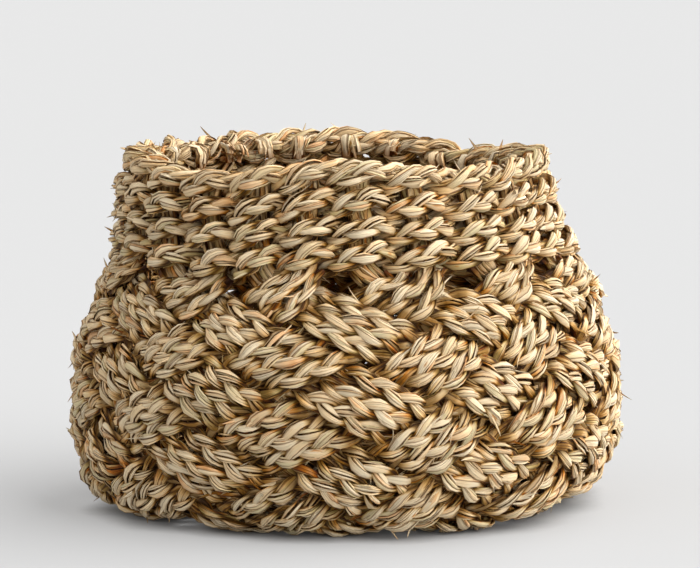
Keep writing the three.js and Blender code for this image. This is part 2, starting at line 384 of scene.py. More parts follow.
class StageLook(bpy.types.PropertyGroup):
    """Camera, floor and light"""

    camera_distance: length("Camera distance", "From the basket's axis to the camera", 2.5)
    camera_height: length("Camera height", "Camera above the floor", 0.4407)
    aim_height: length("Aim height", "Height on the axis that the camera looks at", 0.1398)
    aim_side: length("Aim side", "How far right of the axis the camera looks", 0.0026)
    lens: share("Lens", "Focal length in millimetres on a sensor 36 mm wide", 200.9)
    floor_grey: share("Floor grey", "How much light the plain floor reflects", 0.428)
    backdrop: share("Backdrop", "Grey level of the background and of the lit floor", 0.807)
    shadow_depth: share("Shadow depth", "Share of the floor's brightness that a shadow takes", 0.62)
    crevice_reach: length("Crevice reach", "How far from the basket its foot darkens the floor", 0.016)
    sky_strength: share("Sky strength", "Soft light from all round", 0.22)
    top_strength: share("Top strength", "Wide light from straight above", 0.95)
    right_strength: share("Right strength", "Wide light from the right", 8.2)
    right_spread: share("Right spread", "Degrees that the right light spans", 130)
    right_turn: share("Right turn", "Degrees of the right light away from the camera", 98)
    left_strength: share("Left strength", "Wide light from the left", 1.1)
    left_turn: share("Left turn", "Degrees of the left light away from the camera", 68)
    side_height: share("Side height", "Degrees of the side lights above the floor", 14)
    wide_spread: share("Wide spread", "Degrees that the left and the top light span", 110)
    sun_strength: share("Sun strength", "Key light from the right and above", 1.2)
    sun_height: share("Sun height", "Degrees of the key light above the floor", 20)
    sun_side: share("Sun side", "Degrees of the key light to the right of the camera", 72)
    sun_spread: share("Sun spread", "Degrees that the key light spans, for soft shadows", 90)


def both_ways(operation):
    """The methods that write a Math node with a field as its first or as its second value"""

    def field_first(self, other):
        return self.tree.calc(operation, self, other)

    def field_second(self, other):
        return self.tree.calc(operation, other, self)

    return field_first, field_second


class Field:
    """A value in a node tree. Sums and products of such values add Math nodes to the tree."""

    __add__, __radd__ = both_ways("ADD")
    __sub__, __rsub__ = both_ways("SUBTRACT")
    __mul__, __rmul__ = both_ways("MULTIPLY")
    __truediv__, __rtruediv__ = both_ways("DIVIDE")

    def __init__(self, tree, socket):
        self.tree = tree
        self.socket = socket

    @property
    def is_vector(self):
        return self.socket.type == "VECTOR"


def by_identifier(sockets):
    """A node's sockets by identifier, for nodes that have several of one name"""
    return {socket.identifier: socket for socket in sockets}


class Tree:
    """Writes a node tree of either kind"""

    def __init__(self, group):
        self.group = group

    def put(self, socket, value):
        """Links a field to a socket, or writes a constant on it"""
        if isinstance(value, Field):
            self.group.links.new(value.socket, socket)
        else:
            socket.default_value = value

    def add(self, kind, inputs=(), **settings):
        """Adds a node with its settings, and fills its first inputs or those that are named"""
        node = self.group.nodes.new(kind)
        for name, value in settings.items():
            setattr(node, name, value)
        pairs = inputs.items() if isinstance(inputs, dict) else enumerate(inputs)
        for key, value in pairs:
            self.put(node.inputs[key], value)
        return node

    def field(self, kind, inputs=(), output=0, **settings):
        """Adds a node and returns one of its outputs"""
        return Field(self, self.add(kind, inputs, **settings).outputs[output])

    def calc(self, operation, *values):
        """A Math node, or a Vector Math node where one of the values is a vector"""
        vectors = [isinstance(value, Field) and value.is_vector for value in values]
        if not any(vectors):
            return self.field("ShaderNodeMath", values, operation=operation)
        if operation == "MULTIPLY" and not all(vectors):
            vector, number = values if vectors[0] else reversed(values)
            inputs = {"Vector": vector, "Scale": number}
            return self.field("ShaderNodeVectorMath", inputs, operation="SCALE")
        return self.field("ShaderNodeVectorMath", values, operation=operation)

    def sine(self, value):
        return self.calc("SINE", value)

    def cosine(self, value):
        return self.calc("COSINE", value)

    def unit(self, vector):
        return self.field("ShaderNodeVectorMath", (vector,), operation="NORMALIZE")

    def dot(self, first, second):
        return self.field("ShaderNodeVectorMath", (first, second), output=1, operation="DOT_PRODUCT")

    def vector(self, x, y, z):
        return self.field("ShaderNodeCombineXYZ", (x, y, z))

    def part_of(self, vector, axis):
        """The X, Y or Z of a vector"""
        return self.field("ShaderNodeSeparateXYZ", (vector,), output=axis)

    def smooth(self, value, low, high):
        """0 below the low value, 1 above the high one, and smooth between"""
        inputs = {"Value": value, "From Min": low, "From Max": high}
        return self.field("ShaderNodeMapRange", inputs, interpolation_type="SMOOTHSTEP")

    def blend(self, part, first, second):
        """The first colour, going over to the second as the part goes from 0 to 1"""
        node = self.add("ShaderNodeMix", data_type="RGBA")
        inputs = by_identifier(node.inputs)
        for key, value in (("A_Color", first), ("B_Color", second)):
            self.put(inputs[key], value if isinstance(value, Field) else (*value, 1))
        self.put(inputs["Factor_Float"], part)
        return Field(self, by_identifier(node.outputs)["Result_Color"])

    def noise(self, x, y, z, detail=0.0):
        """Smooth noise from about -1 to 1"""
        inputs = {"Vector": self.vector(x, y, z), "Scale": 1.0, "Detail": detail}
        return 2 * self.field("ShaderNodeTexNoise", inputs, noise_dimensions="3D") - 1


class MaterialTree(Tree):
    """A new material's node tree"""

    def __init__(self, name):
        self.material = bpy.data.materials.new(name)
        self.material.use_nodes = True
        super().__init__(self.material.node_tree)

    def attribute(self, name):
        return self.field("ShaderNodeAttribute", attribute_name=name, output="Fac")

    def finish(self, surface):
        """Ends the tree with the shader's inputs, given by name, and returns the material"""
        shader = self.group.nodes["Principled BSDF"]
        for name, value in surface.items():
            self.put(shader.inputs[name], value)
        return self.material


class GeometryTree(Tree):
    """A Geometry Nodes tree with named inputs"""

    def __init__(self, name):
        super().__init__(bpy.data.node_groups.new(name, "GeometryNodeTree"))
        self.interface = self.group.interface
        for way in ("INPUT", "OUTPUT"):
            self.interface.new_socket("Geometry", in_out=way, socket_type="NodeSocketGeometry")
        self.start = self.group.nodes.new("NodeGroupInput")
        self.end = self.group.nodes.new("NodeGroupOutput")
        self.geometry = Field(self, self.start.outputs["Geometry"])
        self.identifiers = {}

    def given(self, name, kind):
        """A named input of the tree: Float, Int or Material"""
        label = name.replace("_", " ").capitalize()
        socket = self.interface.new_socket(label, in_out="INPUT", socket_type="NodeSocket" + kind)
        self.identifiers[name] = socket.identifier
        return Field(self, self.start.outputs[label])

    def attribute(self, name, data_type="FLOAT"):
        kind = "GeometryNodeInputNamedAttribute"
        return self.field(kind, (name,), output="Attribute", data_type=data_type)

    def position(self):
        return self.field("GeometryNodeInputPosition")

    def random(self, low, high, identity, seed):
        """One number from low to high for each identity"""
        node = self.add("FunctionNodeRandomValue", data_type="FLOAT")
        sockets = by_identifier(node.inputs)
        inputs = {"Min_001": low, "Max_001": high, "ID": identity, "Seed": seed}
        for key, value in inputs.items():
            self.put(sockets[key], value)
        return Field(self, by_identifier(node.outputs)["Value_001"])

    def capture(self, geometry, **fields):
        """Keeps fields on the points of a geometry, and returns it with the kept fields"""
        node = self.add("GeometryNodeCaptureAttribute", (geometry,), domain="POINT")
        for name, value in fields.items():
            node.capture_items.new("VECTOR" if value.is_vector else "FLOAT", name)
            self.put(node.inputs[name], value)
        kept = [Field(self, node.outputs[name]) for name in fields]
        return (Field(self, node.outputs[0]), *kept)

    def store(self, geometry, **fields):
        """Writes fields as named attributes of the points"""
        for name, value in fields.items():
            data_type = "FLOAT_VECTOR" if value.is_vector else "FLOAT"
            inputs = {"Geometry": geometry, "Name": name, "Value": value}
            geometry = self.field("GeometryNodeStoreNamedAttribute", inputs, data_type=data_type)
        return geometry

    def placed(self, geometry, position):
        """The geometry with its points at new places"""
        inputs = {"Geometry": geometry, "Position": position}
        return self.field("GeometryNodeSetPosition", inputs)

    def swept(self, path, section):
        """A section swept along a path, with closed ends"""
        inputs = {"Curve": path, "Profile Curve": section, "Fill Caps": True}
        return self.field("GeometryNodeCurveToMesh", inputs)

    def realized(self, geometry):
        return self.field("GeometryNodeRealizeInstances", (geometry,))

    def finish(self, geometry, material):
        """Ends the tree with Realize Instances and Set Material"""
        inputs = {"Geometry": self.realized(geometry), "Material": material}
        self.put(self.end.inputs[0], self.field("GeometryNodeSetMaterial", inputs))
        return self


def section_curve(tree):
    """The section of a blade, a triangle with a flat back, and the two coordinates of its points:
    across from -1 to 1, crown from -0.5 at the back to 1 at the keel"""
    circle = tree.field("GeometryNodeCurvePrimitiveCircle", {"Resolution": 3, "Radius": 1.0})
    across = -2 / math.sqrt(3) * tree.part_of(tree.position(), "Y")
    return tree.capture(circle, across=across, crown=tree.part_of(tree.position(), "X"))


def braid_tree():
    """A braid along a route. The route's points hold the side and out directions, the run along
    it, the half width and half thickness there, how far the braid is opened out to a flat bundle,
    the run that counts for the blades' twist and the distance to a cut end."""
    tree = GeometryTree("Seagrass braid")
    strands, blades, seed = (tree.given(name, "Int") for name in ("strands", "blades", "seed"))
    material = tree.given("material", "Material")
    lengths_and_shares = (tree.given(name, "Float") for name in BLADE_INPUTS)
    period, strand_width, strand_thickness, *blade_sizes = lengths_and_shares
    blade_width, blade_thickness, twist_length, frizz, loose_ends = blade_sizes
    tone_seed, hue_seed, breadth_seed, cut_seed, end_seed, way_seed, size_seed, lift_seed = (
        seed + DRAW_STEP * place for place in range(8)
    )

    side = tree.attribute("side", "FLOAT_VECTOR")
    out = tree.attribute("out", "FLOAT_VECTOR")
    run = tree.attribute("run")
    half_width = tree.attribute("half_width")
    half_thick = tree.attribute("half_thick")
    opened = tree.attribute("opened")
    twist = tree.attribute("twist")
    to_end = tree.attribute("to_end")
    closed = 1 - opened

    route = tree.field("GeometryNodeMeshToCurve", (tree.geometry,))
    inputs = {"Geometry": route, "Amount": strands * blades}
    copies = tree.add("GeometryNodeDuplicateElements", inputs, domain="SPLINE")
    copied, heart = tree.capture(Field(tree, copies.outputs[0]), heart=tree.position())
    copy = Field(tree, copies.outputs["Duplicate Index"])
    strand = tree.calc("FLOOR", (copy + 0.5) / blades)
    blade = copy - strand * blades
    along = tree.field("GeometryNodeInputTangent")
    offset = seed * SEED_SHIFT

    def blade_noise(waves, lane, shift=0, detail=0.0):
        """Noise along the run, with so many waves per metre and different for each blade"""
        return tree.noise(run * waves, copy * lane, offset + shift, detail)

    # The strands cross in a braid, and lie side by side where it is opened
    slow = tree.noise(run * PHASE_WAVES, offset, PHASE_LANE)
    phase = run * TAU / period + strand * (TAU / STRANDS) + slow * PHASE_DRIFT
    reach = half_width * (1 - strand_width)
    rise = half_thick * (1 - strand_thickness)
    flat_place = (strand - (STRANDS - 1) / 2) * half_width * FLAT_SPREAD
    aside = reach * tree.sine(phase) * closed + flat_place * opened
    above = rise * tree.sine(2 * phase) * closed
    aside_slope = reach * tree.cosine(phase) * (TAU / period) * closed
    above_slope = rise * tree.cosine(2 * phase) * (2 * TAU / period) * closed
    strand_side = tree.unit(side - along * aside_slope)
    strand_out = tree.unit(out - along * above_slope)
    middle = side * aside + out * above

    # The blades lie round the strand, their keels outwards
    drift = blade_noise(waves=22, lane=5.3) * TURN_DRIFT
    turn = blade * TAU / blades + strand * STRAND_TURN + twist * TAU / twist_length + drift
    turn_sine = tree.sine(turn)
    turn_cosine = tree.cosine(turn)
    bulge = tree.sine(2 * phase)
    pinch = 1 - closed * (STRAND_PINCH - STRAND_BULGE * bulge * bulge)
    ring_width = (half_width * strand_width - blade_thickness * BLADE_INSET) * pinch
    ring_thick = half_thick * strand_thickness - blade_thickness
    ring_side = strand_side * (turn_cosine * ring_width)
    ring_out = strand_out * (turn_sine * ring_thick)
    width_axis = tree.unit(
        strand_out * (turn_cosine * ring_thick) - strand_side * (turn_sine * ring_width)
    )
    crown_axis = tree.unit(
        strand_side * (turn_cosine * ring_thick) + strand_out * (turn_sine * ring_width)
    )
    loose = tree.calc("MAXIMUM", blade_noise(waves=55, lane=3.1, shift=40, detail=1.0), INWARD_MOST)
    stray = blade_noise(waves=70, lane=3.7, shift=80, detail=1.0)
    room = frizz * (1 + OPENED_FRIZZ * opened)
    shift = crown_axis * (loose * room) + side * (stray * room * SIDE_STRAY)

    # Each blade has its own tone, hue, breadth and end
    copied = tree.store(
        copied,
        tone=tree.random(0.0, 1.0, copy, tone_seed),
        hue=tree.random(0.0, 1.0, copy, hue_seed),
    )
    draw = tree.random(0.0, 1.0, copy, breadth_seed)
    own_breadth = NARROW_BREADTH + BREADTH_RANGE * draw * draw * draw
    swell = OPENED_SWELL * opened + RUN_SWELL * blade_noise(waves=26, lane=2.3, shift=9)
    breadth = tree.calc("MAXIMUM", own_breadth + swell, LEAST_BREADTH)
    thickness = NARROW_THICKNESS - BREADTH_THINS * tree.calc("MINIMUM", breadth, BROAD_BREADTH)
    full = TIP_SHARE + (1 - TIP_SHARE) * tree.smooth(to_end, 0.0, TIP_LENGTH)
    on_top = crown_axis * (blade_thickness * BROAD_LIFT * (breadth - 1))
    laid = tree.placed(copied, heart + middle + ring_side + ring_out + shift + on_top)
    laid, centre, wide, tall, lift_axis, paint_run, paint_width, ahead, crown_way = tree.capture(
        laid,
        centre=tree.position(),
        wide=width_axis * (blade_width * breadth * full * pinch),
        tall=crown_axis * (blade_thickness * thickness * full),
        lift_axis=out * (1 / half_thick),
        run=run + copy * PAINT_SHIFT,
        width=blade_width * own_breadth,
        ahead=along,
        crown_way=crown_axis,
    )
    cut_off = tree.calc("LESS_THAN", to_end, tree.random(0.0, RAGGED_END, copy, cut_seed))
    inputs = {"Geometry": laid, "Selection": cut_off}
    trimmed = tree.field("GeometryNodeDeleteGeometry", inputs, domain="POINT")
    section, across, crown = section_curve(tree)
    body = tree.placed(tree.swept(trimmed, section), centre + wide * across + tall * crown)
    body = tree.store(
        body,
        height=tree.dot(tree.position() - heart, lift_axis),
        run=paint_run,
        across=across * paint_width,
        edge=across,
        crown=crown,
    )

    # Loose ends stand off along the blades, more of them in some places
    number = tree.field("GeometryNodeInputIndex")
    chance = tree.random(0.0, 1.0, number, end_seed)
    patch = tree.noise(paint_run * TUFT_WAVES, offset + TUFT_SHIFT, 0.0)
    tufted = loose_ends * (TUFT_LEAST + TUFT_MOST * tree.smooth(patch, *TUFT_RANGE))
    back = tree.calc("GREATER_THAN", tree.random(0.0, 1.0, number, way_seed), BACKWARD_SHARE)
    size = tree.random(*LOOSE_LENGTHS, number, size_seed)
    lifted = size * tree.random(*LOOSE_LIFTS, number, lift_seed)
    facing = {"Primary Axis": ahead * (1 - 2 * back), "Secondary Axis": crown_way}
    axes = {"primary_axis": "X", "secondary_axis": "Z"}
    inputs = {
        "Points": trimmed,
        "Selection": tree.calc("LESS_THAN", chance, tufted),
        "Instance": splinter(tree),
        "Rotation": tree.field("FunctionNodeAxesToRotation", facing, **axes),
        "Scale": tree.vector(size, paint_width * LOOSE_WIDTH, lifted),
    }
    ends = tree.field("GeometryNodeInstanceOnPoints", inputs)
    whole = tree.add("GeometryNodeJoinGeometry")
    for part in (ends, body):
        tree.put(whole.inputs[0], part)
    real = tree.realized(Field(tree, whole.outputs[0]))
    return tree.finish(creased(tree, above_floor(tree, real)), material)


def above_floor(tree, geometry):
    """Presses flatter what would reach through the floor, the more the lower it lies"""
    low = tree.calc("MINIMUM", tree.part_of(tree.position(), "Z"), FLOOR_SKIN)
    pressed = FLOOR_SKIN * tree.calc("EXPONENT", low / FLOOR_SKIN - 1)
    inputs = {"Geometry": geometry, "Offset": tree.vector(0.0, 0.0, pressed - low)}
    return tree.field("GeometryNodeSetPosition", inputs)


def creased(tree, geometry):
    """Smooth shading, with creases along the borders and the keels of the blades. The edge
    attribute is 0 or 1 in size on a line along a blade, and a half between border and keel."""
    kind = "GeometryNodeSetShadeSmooth"
    smooth = tree.field(kind, {"Geometry": geometry})
    edge = tree.calc("ABSOLUTE", tree.attribute("edge"))
    from_half = tree.calc("ABSOLUTE", edge - 0.5)
    lengthwise = tree.calc("GREATER_THAN", from_half, LENGTHWISE_FROM)
    inputs = {"Geometry": smooth, "Selection": lengthwise, "Shade Smooth": False}
    return tree.field(kind, inputs, domain="EDGE")


def splinter(tree):
    """A loose end of a blade, one unit long, that lifts off as it goes"""
    path = tree.field("GeometryNodeCurveQuadraticBezier", {"Resolution": 4, **LOOSE_PATH})
    factor = tree.field("GeometryNodeSplineParameter")
    path, centre, slim = tree.capture(
        path, centre=tree.position(), slim=1 - LOOSE_TAPER * factor * factor
    )
    section, across, crown = section_curve(tree)
    spread = tree.vector(0.0, across * slim, crown * slim * LOOSE_THICKNESS)
    body = tree.placed(tree.swept(path, section), centre + spread)
    return tree.store(
        body,
        height=LOOSE_HEIGHT + 0 * across,
        run=tree.dot(centre, (LOOSE_PAINT_RUN, 0, 0)),
        across=across * LOOSE_PAINT_WIDTH,
        edge=across,
        crown=crown,
    )


class Weave:
    """The wall's surface and the routes of the braids on it, worked out from the shape"""

    def __init__(self, shape):
        self.shape = shape
        self.plait_lift = (shape.braid_thickness + shape.plait_clearance) / 2
        self.wall_half = self.plait_lift + shape.braid_thickness / 2
        self.twine_lift = (shape.stake_thickness + shape.twine_thickness) / 2 + shape.twine_clearance
        self.twine_rise = (shape.twine_height + shape.twine_clearance) / 2
        self.collar_height = shape.collar_rows * 2 * (shape.twine_height + shape.twine_clearance)
        self.row_turn = EIGHTH / shape.bands_from_middle
        self.stake_count = 2 * len(SIDES) * shape.bands_from_middle
        self.last_row = shape.bands_from_middle + shape.wall_rows
        self.mat_pitch = shape.band_width + shape.band_gap
        self.lean = shape.rim_lean / (shape.foot_height + self.collar_height)
        self.trace_outline()
        self.first_run = shape.mat_row_reach * shape.bands_from_middle * self.mat_pitch
        self.wall_run = self.foot_run - self.first_run
        self.row_run = (self.rim_run - self.foot_run) / shape.collar_rows

    def trace_outline(self):
        """Points along the middle of the wall: a line, two cubic curves and a quadratic one"""
        shape = self.shape
        belly = shape.belly_radius - self.wall_half
        foot = shape.foot_radius - self.wall_half
        rim = shape.rim_radius - (shape.twine_thickness + self.twine_lift) / 2
        corner_reach = shape.corner_round * (belly - shape.base_radius)
        corner_rise = shape.corner_round * (shape.belly_height - self.wall_half)
        shoulder = shape.shoulder_round * (shape.foot_height - shape.belly_height)
        flare_top = shape.foot_height + (foot - rim) / shape.collar_flare
        curves = (
            ((0, self.wall_half), (shape.base_radius, self.wall_half)),
            (
                (shape.base_radius, self.wall_half),
                (shape.base_radius + corner_reach, self.wall_half),
                (belly, shape.belly_height - corner_rise),
                (belly, shape.belly_height),
            ),
            (
                (belly, shape.belly_height),
                (belly, shape.belly_height + shoulder),
                (foot + shape.collar_flare * shoulder, shape.foot_height - shoulder),
                (foot, shape.foot_height),
            ),
            ((foot, shape.foot_height), (rim, flare_top), (rim, shape.foot_height + self.collar_height)),
        )
        pieces = [bezier(corners, OUTLINE_STEPS) for corners in curves]
        self.outline = np.concatenate([pieces[0], *(piece[1:] for piece in pieces[1:])])
        self.outline_run = run_along(self.outline)
        self.foot_run = self.outline_run[-len(pieces[-1])]
        self.rim_run = self.outline_run[-1]
        step = np.gradient(self.outline, axis=0)
        self.outline_slope = step / np.linalg.norm(step, axis=1)[:, None]

    def wall_at(self, run):
        """Place and outward direction of the wall. Past the rim the outline goes on straight."""
        place = [np.interp(run, self.outline_run, self.outline[:, i]) for i in (0, 1)]
        slope = [np.interp(run, self.outline_run, self.outline_slope[:, i]) for i in (0, 1)]
        past = np.maximum(run - self.rim_run, 0)
        return place[0] + past * slope[0], place[1] + past * slope[1], slope[1], -slope[0]

    def run_of_row(self, row):
        """Run along the outline to a row of crossings"""
        shape = self.shape
        part = (row - shape.bands_from_middle) / (shape.wall_rows + shape.rows_to_collar)
        return self.first_run + self.wall_run * (part + shape.row_crowding * part * (1 - part))

    def band_pitch(self, row):
        """Distance between neighbouring bands that run the same way, square to them"""
        ahead, behind = self.run_of_row(row + PITCH_STEP), self.run_of_row(row - PITCH_STEP)
        rise = (ahead - behind) / (2 * PITCH_STEP)
        side = self.row_turn * self.wall_at(self.run_of_row(row))[0]
        on_ring = self.ring_share(row)
        return (1 - on_ring) * self.mat_pitch + on_ring * 2 * side * rise / np.hypot(side, rise)

    def ring_share(self, row):
        """0 on the square mat under the basket, 1 where the rows have become rings"""
        return smooth_step(row - self.shape.bands_from_middle)

    def ring_point(self, angle, run, lift):
        """A place on the wall, with the small unevenness of hand work"""
        above = run - self.foot_run
        fade = smooth_step((run - self.first_run) / UNEVEN_REACH)
        calm = 1 - COLLAR_CALM * smooth_step(above / CALM_REACH)
        at_belly = smooth_step(-above / UNEVEN_REACH)
        at_rim = smooth_step(above / RIM_REACH)
        at_back = (1 + np.sin(angle)) / 2
        turn = UNEVEN_TURN * wave_sum(angle, run, TURN_WAVES) * fade * calm
        turn = turn + BACK_TURN * at_back * fade
        slide = UNEVEN_RISE * wave_sum(angle, run, RISE_WAVES) * fade * calm
        slide = slide + UNEVEN_RIM * wave_sum(angle, run, RIM_WAVES) * at_rim
        slide = slide + BACK_SHIFT * at_back * fade * at_belly
        for at, width, rise in RIM_BUMPS:
            slide = slide + rise * bell(turn_between(angle, at) / width) * at_rim
        swell = UNEVEN_SWELL * wave_sum(angle, run, SWELL_WAVES) * fade
        swell = swell - RIM_TUCK * smooth_step((above - RIM_TUCK_FROM) / RIM_TUCK_REACH)
        radius, height, out_r, out_z = self.wall_at(run + slide)
        reach = radius + (lift + swell) * out_r
        turned = angle + turn
        return np.stack(
            [reach * np.cos(turned), reach * np.sin(turned), height + (lift + swell) * out_z], axis=-1
        )

    def leant(self, points):
        """The same points in the basket, whose rim leans to the left, whose shoulder sits to the
        right and whose wall has bulges and dents"""
        points = points.copy()
        height = points[:, 2]
        points[:, 0] += SHOULDER_SHIFT * bell((height - SHOULDER_HEIGHT) / SHOULDER_REACH)
        angle = np.arctan2(points[:, 1], points[:, 0])
        for size, at, width, level, reach in BULGES:
            bulge = size * bell(turn_between(angle, at) / width) * bell((height - level) / reach)
            points[:, 0] += bulge * np.cos(angle)
            points[:, 1] += bulge * np.sin(angle)
        points[:, 0] -= self.lean * (height - self.shape.belly_height)
        return points

    def plait_point(self, quarter, across, along, lift):
        """A place in the plait. Across and along count band pitches from the mat's middle."""
        out = np.abs(along)
        row = across + out
        flip = np.where(along < 0, -1.0, 1.0)
        turn = (quarter - 1) * QUARTER
        angle = flip * (EIGHTH + (out - across) * self.row_turn) + turn
        on_ring = self.ring_point(angle, self.run_of_row(row), lift)
        x = across * self.mat_pitch
        y = flip * out * self.mat_pitch
        flat = np.stack(
            [
                x * math.cos(turn) - y * math.sin(turn),
                x * math.sin(turn) + y * math.cos(turn),
                self.wall_half - lift,
            ],
            axis=-1,
        )
        part = self.ring_share(row)[:, None]
        return (1 - part) * flat + part * on_ring

    def collar_point(self, angle, side, run, lift):
        """A place in the collar, to the side of an angle round it"""
        reach = self.wall_at(run)[0] + lift
        return self.ring_point(angle + side / reach, run, lift)

    def collar_route(self, angle, side, run, lift, sizes, outward=(0, MM)):
        """The course through places in the collar. Outward is a small step in run and lift that
        leads away from the braid's underside."""
        low = self.leant(self.collar_point(angle, side, run, lift))
        high = self.leant(self.collar_point(angle, side, run + outward[0], lift + outward[1]))
        return Route(low, high - low, *sizes)


def bezier(corners, steps):
    """Points of a Bezier curve of any degree"""
    at = np.linspace(0, 1, steps)[:, None]
    points = [np.broadcast_to(np.array(corner, float), (steps, 2)) for corner in corners]
    while len(points) > 1:
        points = [(1 - at) * a + at * b for a, b in zip(points, points[1:])]
    return points[0]


def run_along(points):
    """Distance along a row of points"""
    return np.concatenate([[0], np.cumsum(np.linalg.norm(np.diff(points, axis=0), axis=1))])


def smooth_step(value):
    value = np.clip(value, 0, 1)
    return value * value * (3 - 2 * value)


def bell(value):
    return np.exp(-value * value)


def turn_between(angle, other):
    """The angle from one direction to another, from minus half a turn to half a turn"""
    return (angle - other + np.pi) % TAU - np.pi


def plateau(value, flatness):
    """A wave with flattened tops"""
    return np.tanh(flatness * value) / math.tanh(flatness)


def wave_sum(angle, run, waves):
    """A smooth uneven field over the wall, the mean of some waves"""
    total = 0
    for turns, rises, phase in waves:
        total = total + np.sin(turns * angle + TAU * rises * run + phase)
    return total / len(waves)


def drifting(run, size, random):
    """A slow seeded drift along a route"""
    total = np.zeros_like(run)
    for wave_length in DRIFT_LENGTHS:
        total += np.sin(TAU * run / wave_length + random.uniform(0, TAU))
    return size * total / len(DRIFT_LENGTHS)


class Route:
    """The course of one braid: places, outward directions and sizes, point by point"""

    def __init__(self, points, outward, *sizes):
        """The sizes are half width, half thickness, opened and dive: numbers or rows of them"""
        self.points = points
        self.outward = outward
        spread = [np.broadcast_to(size, len(points)).astype(float) for size in sizes]
        self.sizes = np.stack(spread, axis=-1)
        self.half_width, self.half_thick, self.opened, self.dive = self.sizes.T

    def table(self):
        return np.concatenate([self.points, self.outward, self.sizes], axis=1)

    @staticmethod
    def of_table(table):
        points, outward, sizes = np.split(table, (3, 6), axis=1)
        return Route(points, outward, *sizes.T)

    def turned_round(self):
        """The same course walked the other way"""
        return Route(self.points[::-1], self.outward[::-1], *self.sizes[::-1].T)


def resampled(table, run, at):
    """The rows of a table, which lie at some runs, at other runs"""
    return np.stack([np.interp(at, run, column) for column in table.T], axis=-1)


def joined(routes, step):
    """One even, smoothed course through several"""
    table = np.concatenate([route.table() for route in routes])
    run = run_along(table[:, :3])
    keep = np.concatenate([[True], np.diff(run) > SAME_PLACE])
    table = resampled(table[keep], run[keep], np.arange(0, run[-1], MM))
    weights = np.hanning(2 * SMOOTH_REACH + 3)[1:-1]
    weights /= weights.sum()
    ends = [table[:1].repeat(SMOOTH_REACH, 0), table[-1:].repeat(SMOOTH_REACH, 0)]
    padded = np.concatenate([ends[0], table, ends[1]])
    table = np.stack([np.convolve(column, weights, "valid") for column in padded.T], axis=-1)
    run = run_along(table[:, :3])
    even = np.linspace(0, run[-1], max(2, round(run[-1] / step)))
    return Route.of_table(resampled(table, run, even))


def band_course(weave, look, quarter, band, braid, random):
    """The course of one braid through all the crossings of its band"""
    shape = weave.shape
    place = band + 0.5
    last = weave.last_row - place
    end = last + LAST_CROSSING_REACH
    along = np.linspace(-end, end, round(2 * end * CROSSING_SAMPLES))
    out = np.abs(along)
    pitch = weave.band_pitch(place + out)
    gathered = 1 - (1 - shape.gather) * smooth_step((out - last + GATHER_BEFORE) / GATHER_REACH)
    braid_width = look.band_fill * pitch * gathered / len(BRAID_NAMES)
    run = (along + end) * weave.mat_pitch
    stray = drifting(run, look.wander, random)
    bob = drifting(run, look.wander, random)
    keep = look.side_drop if braid else 1
    wave = plateau(np.sin(np.pi * along), look.plateau) * (-1) ** band
    on_ring = weave.ring_share(place + out)
    pillow = on_ring * look.pillow + (1 - on_ring) * look.mat_pillow
    lift = wave * weave.plait_lift * pillow * keep + bob
    across = place + (braid * braid_width + stray) / pitch
    low = weave.leant(weave.plait_point(quarter, across, along, lift))
    high = weave.leant(weave.plait_point(quarter, across, along, lift + MM))
    half = braid_width / 2 * BRAID_PRESS * (1 + drifting(run, look.uneven_width, random))
    opened = smooth_step((out - last) / OPENING_REACH) if braid == 0 else 0
    return Route(low, high - low, half, shape.braid_thickness / 2, opened, 1 - np.abs(wave))


def stake_course(weave, angle, random):
    """The course of a stake up through the collar, over the rim and down inside. Its path is
    drawn first as runs past the collar's foot and lifts."""
    shape = weave.shape
    top = weave.row_run * (shape.collar_rows - 0.5)
    fold = top + shape.twine_height / 2 + weave.twine_rise + shape.twine_clearance
    middle = fold - FOLD_PRESS
    inside = weave.twine_lift + (shape.twine_thickness + shape.fold_thickness) / 2
    inside += shape.twine_clearance
    tail = LOOSE_TAIL * random.uniform(*TAIL_RANGE)
    corners = (
        (STAKE_START, 0),
        (middle, 0),
        (middle, -inside),
        (middle + shape.fold_thickness / 2 - shape.fold_tail - tail, -inside),
    )
    path = np.concatenate(
        [bezier(pair, max(2, round(math.dist(*pair) / MM))) for pair in zip(corners, corners[1:])]
    )
    heading = np.gradient(path, axis=0)
    heading /= np.linalg.norm(heading, axis=1)[:, None] + ABOVE_ZERO
    outward = (-heading[:, 1] * MM, heading[:, 0] * MM)
    past = run_along(path) - middle
    folded = smooth_step(past / FOLD_REACH)
    loosened = smooth_step((past + LOOSEN_REACH) / LOOSEN_REACH)
    side = random.uniform(-FOLD_LEAN, FOLD_LEAN) * smooth_step(past / LEAN_REACH)
    thick = (1 - folded) * shape.stake_thickness / 2 + folded * shape.fold_thickness / 2 * FOLD_FULL
    opened = 1 - (1 - FOLD_OPEN) * loosened
    sizes = (shape.stake_width / 2, thick, opened, STAKE_SHADE * (1 - loosened))
    run, lift = path.T
    return weave.collar_route(angle, side, weave.foot_run + run, lift, sizes, outward)


def tuck_course(weave, angle, braid, flip):
    """The end of a side braid, tucked in beside the stake under the first twined row"""
    shape = weave.shape
    run = weave.foot_run + np.array(TUCK_RUNS)
    side = -flip * braid * (shape.stake_width * TUCK_SIDE + shape.tuck_gap)
    sizes = (shape.stake_width * TUCK_SHARE, shape.stake_thickness / 2, 0, 1)
    return weave.collar_route(angle, side, run, np.array(TUCK_LIFTS), sizes)


def braid_course(weave, look, quarter, band, braid, random):
    """The whole course of a braid of a band, from one end of the band to the other"""
    middle = band_course(weave, look, quarter, band, braid, random)
    turn = (weave.last_row + 0.5 - 2 * (band + 0.5)) * weave.row_turn + EIGHTH
    ends = []
    for flip in (-1, 1):
        angle = flip * turn + (quarter - 1) * QUARTER
        if braid == 0:
            ends.append(stake_course(weave, angle, random))
        else:
            ends.append(tuck_course(weave, angle, braid, flip))
    return joined([ends[0].turned_round(), middle, ends[1]], look.sample_step)


